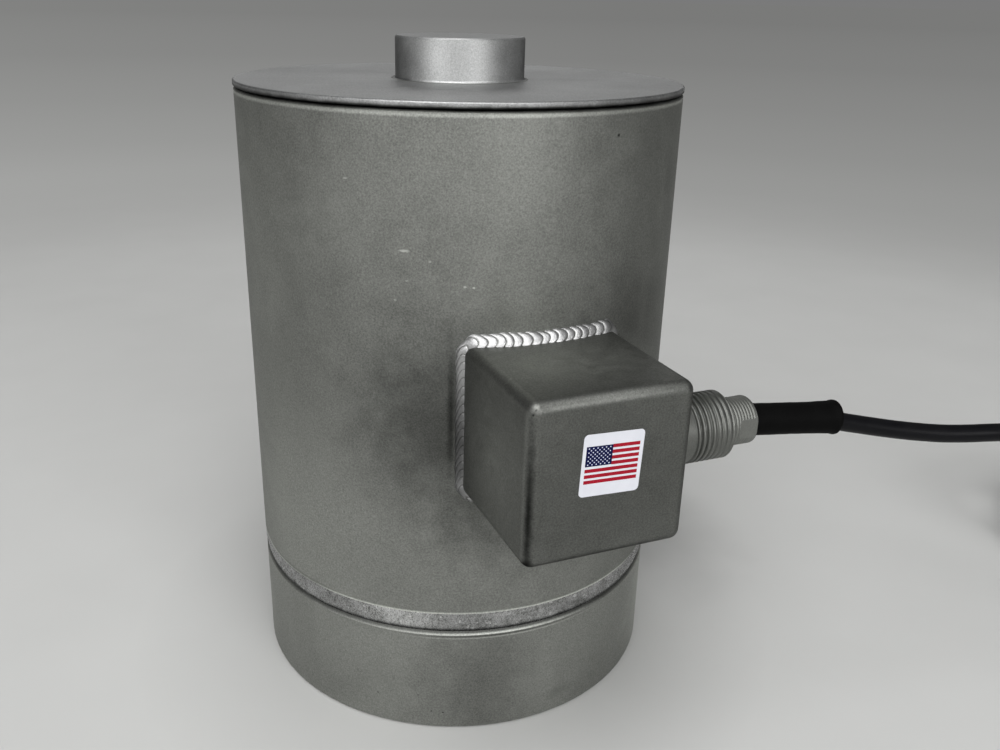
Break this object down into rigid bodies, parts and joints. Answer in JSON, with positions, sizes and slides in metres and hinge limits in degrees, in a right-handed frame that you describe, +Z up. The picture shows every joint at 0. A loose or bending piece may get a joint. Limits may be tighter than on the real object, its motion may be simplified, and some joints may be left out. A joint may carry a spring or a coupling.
{
  "type": "compression load cell",
  "caption": "Upright steel can with a low crowned load button on top, a welded junction box on its side and a cable that leaves through a threaded gland.",
  "frame": {"origin": "centre of the base's underside, at the mouth of its threaded hole", "axes": "+Z up the load axis to the load button; the junction box faces -Y; the cable leaves the gland along +X"},
  "size_m": [0.4378, 0.2054, 0.2296],
  "materials": {
    "body_steel": "bead-blasted stainless steel",
    "weld_steel": "bright unground weld",
    "box_steel": "bead-blasted cast stainless steel",
    "gland_steel": "blasted turned stainless steel",
    "bright_steel": "turned steel",
    "cable_jacket": "satin black polyurethane",
    "sleeve_rubber": "satin black shrunk sleeve",
    "grommet_rubber": "matte",
    "tie_nylon": "satin black nylon",
    "sticker_film": "satin printed film",
    "gauge_foil": "amber film with foil grid",
    "contact_gold": "gold plated",
    "spacer_brass": "turned",
    "board_laminate": "green solder mask",
    "resistor_coat": "dipped coat",
    "seal_glass": "fused",
    "lead_insulation": "coloured insulation",
    "tinned_copper": "tinned strands"
  },
  "bodies": {
    "root": {"load_column": "body_steel", "casing_tube": "body_steel", "top_lid": "body_steel", "lid_seam_weld": "weld_steel", "button_weld": "weld_steel", "base_girth_weld": "weld_steel", "guide_diaphragm": "bright_steel", "guide_support_ring": "bright_steel", "guide_clamp_ring": "bright_steel", "junction_box": "box_steel", "box_fillet_weld": "weld_steel", "box_sticker": "sticker_film", "conduit_hub": "gland_steel", "hub_weld": "weld_steel", "gland_washers": "bright_steel", "gland_grommet": "grommet_rubber", "gland_follower": "gland_steel", "cable_sleeve": "sleeve_rubber", "cable_inlet": "cable_jacket", "crimp_collar": "spacer_brass", "strain_gauges": "gauge_foil", "gauge_terminals": "contact_gold", "gauge_jumpers": "tinned_copper", "gauge_leads": "lead_insulation", "bridge_board": "board_laminate", "board_standoffs": "spacer_brass", "board_screws": "bright_steel", "trim_resistors": "resistor_coat", "solder_posts": "contact_gold", "header_shell": "bright_steel", "header_glass": "seal_glass", "header_pins": "contact_gold", "header_harness": "lead_insulation", "cable_conductors": "lead_insulation", "conductor_sleeves": "sleeve_rubber", "cable_run": "cable_jacket", "cable_coil": "cable_jacket", "coil_ties": "tie_nylon", "cable_tail": "cable_jacket", "tail_sleeve": "sleeve_rubber", "tail_leads": "lead_insulation", "tail_tips": "tinned_copper"}
  },
  "joints": []
}
